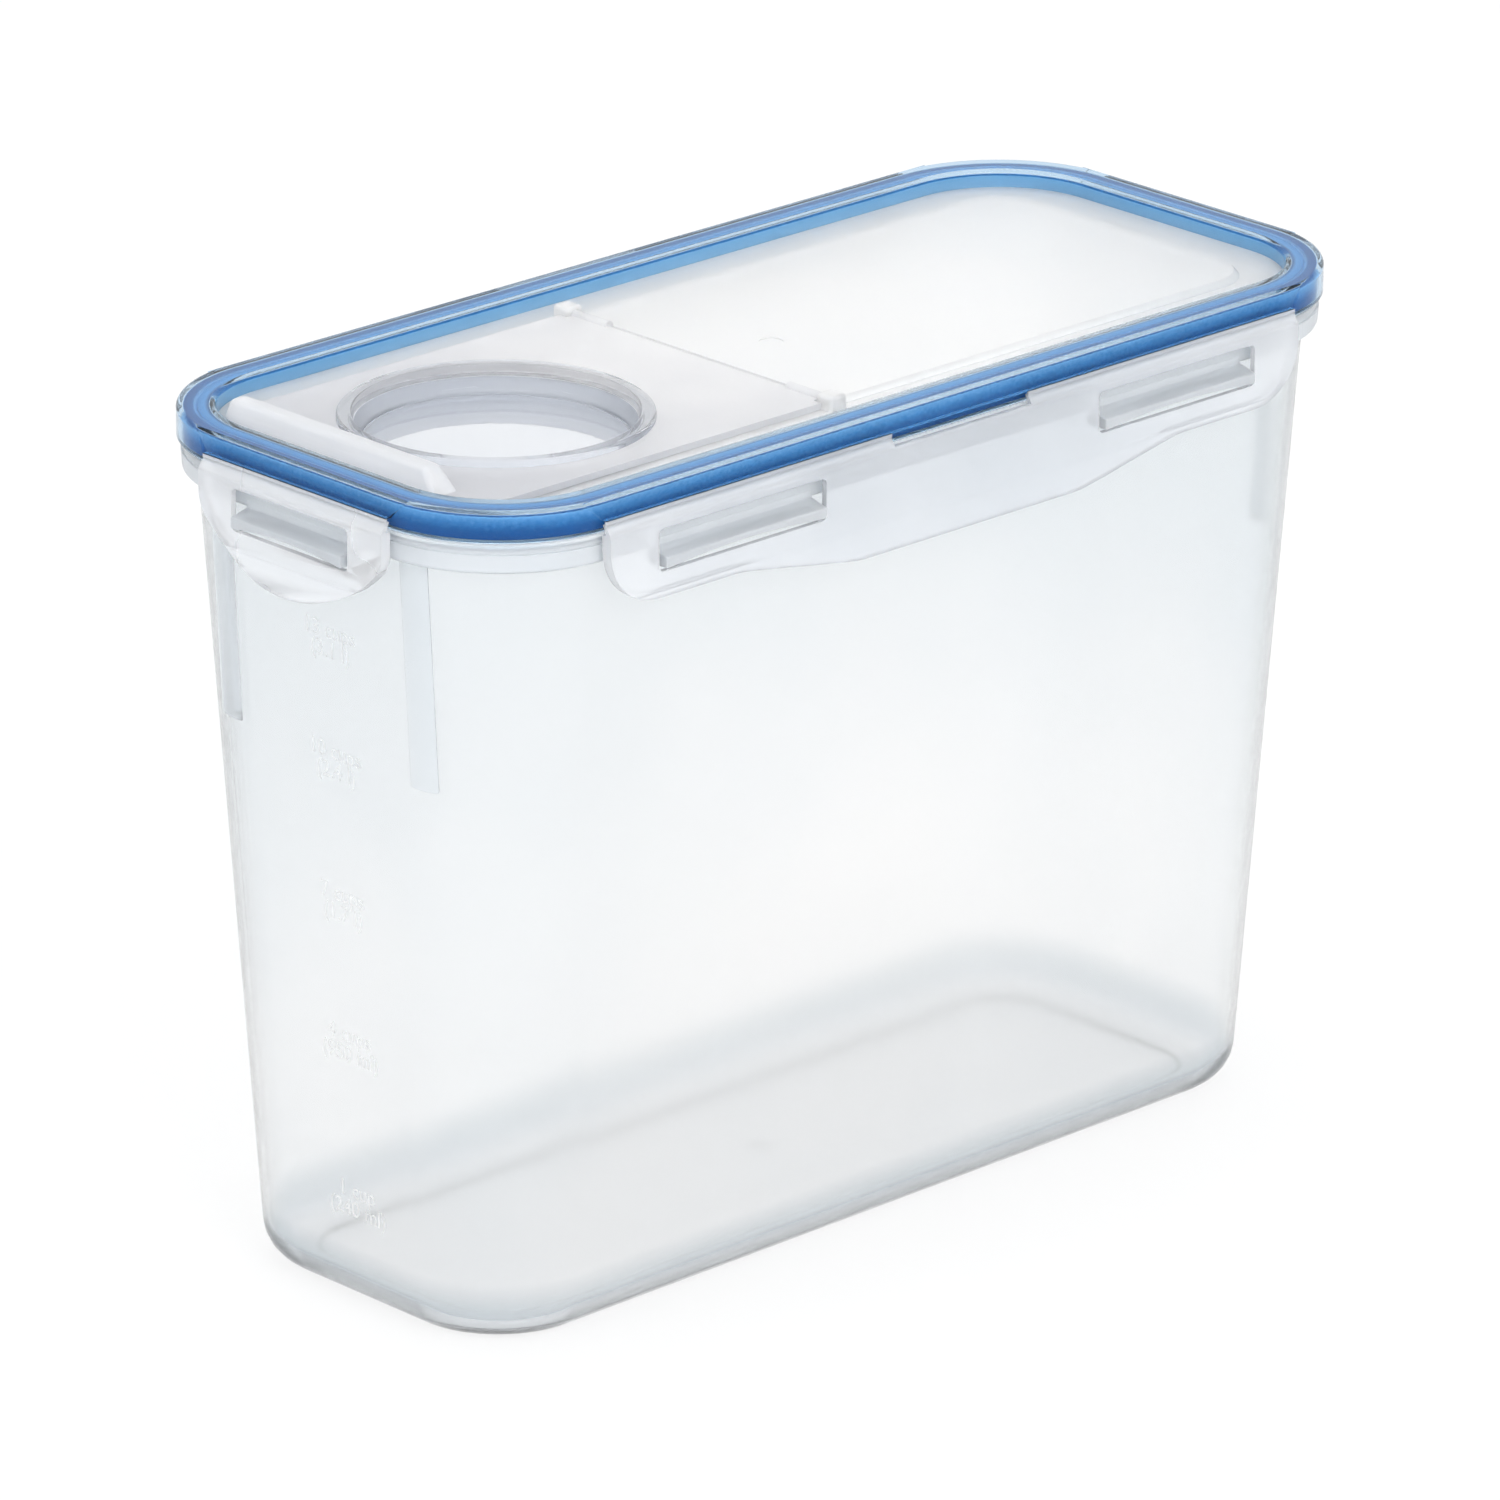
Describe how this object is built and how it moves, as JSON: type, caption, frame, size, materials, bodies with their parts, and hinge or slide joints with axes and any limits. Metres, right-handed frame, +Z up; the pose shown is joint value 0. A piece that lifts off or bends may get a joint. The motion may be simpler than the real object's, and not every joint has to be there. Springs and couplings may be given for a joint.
{
  "type": "cereal container with flip spout",
  "caption": "Tall tapered food keeper with a sealed lid held by four hinged clip flaps, and a flip cap that closes a round pouring opening.",
  "frame": {"origin": "middle of the footprint, on the surface that the tub stands on", "axes": "+Z up, +X along the length towards the end away from the pouring end, +Y across"},
  "size_m": [0.2712, 0.1266, 0.1933],
  "materials": {
    "tub_plastic": "clear polypropylene, slightly milky, smooth",
    "lid_plastic": "clear polypropylene, smooth",
    "cap_plastic": "translucent polypropylene, finely textured",
    "seal_silicone": "smooth blue silicone"
  },
  "bodies": {
    "container": {"container_body": "tub_plastic"},
    "lid": {"lid_frame": "lid_plastic", "lid_gasket": "seal_silicone", "front_flap_hinge_left": "lid_plastic", "front_flap_hinge_right": "lid_plastic", "rear_flap_hinge_left": "lid_plastic", "rear_flap_hinge_right": "lid_plastic", "spout_end_flap_hinge": "lid_plastic", "far_end_flap_hinge": "lid_plastic"},
    "cap": {"flip_cap": "cap_plastic"},
    "front_flap": {"front_flap": "lid_plastic"},
    "rear_flap": {"rear_flap": "lid_plastic"},
    "spout_end_flap": {"spout_end_flap": "lid_plastic"},
    "far_end_flap": {"far_end_flap": "lid_plastic"}
  },
  "joints": [
    {"name": "lid_lift", "type": "slide", "parent": "container", "child": "lid", "axis": [0, 0, 1], "range_m": [0, 0.15]},
    {"name": "cap_hinge", "type": "hinge", "parent": "lid", "child": "cap", "pos_m": [-0.0185, 0, 0.1885], "axis": [0, 1, 0], "range_deg": [0, 110]},
    {"name": "front_flap_hinge", "type": "hinge", "parent": "lid", "child": "front_flap", "pos_m": [0, -0.0599, 0.1862], "axis": [-1, 0, 0], "range_deg": [0, 135], "deforming": ["front_flap_hinge_left", "front_flap_hinge_right"]},
    {"name": "rear_flap_hinge", "type": "hinge", "parent": "lid", "child": "rear_flap", "pos_m": [0, 0.0599, 0.1862], "axis": [1, 0, 0], "range_deg": [0, 135], "deforming": ["rear_flap_hinge_left", "rear_flap_hinge_right"]},
    {"name": "spout_end_flap_hinge", "type": "hinge", "parent": "lid", "child": "spout_end_flap", "pos_m": [-0.1322, 0, 0.1862], "axis": [0, 1, 0], "range_deg": [0, 135], "deforming": ["spout_end_flap_hinge"]},
    {"name": "far_end_flap_hinge", "type": "hinge", "parent": "lid", "child": "far_end_flap", "pos_m": [0.1322, 0, 0.1862], "axis": [0, -1, 0], "range_deg": [0, 135], "deforming": ["far_end_flap_hinge"]}
  ]
}
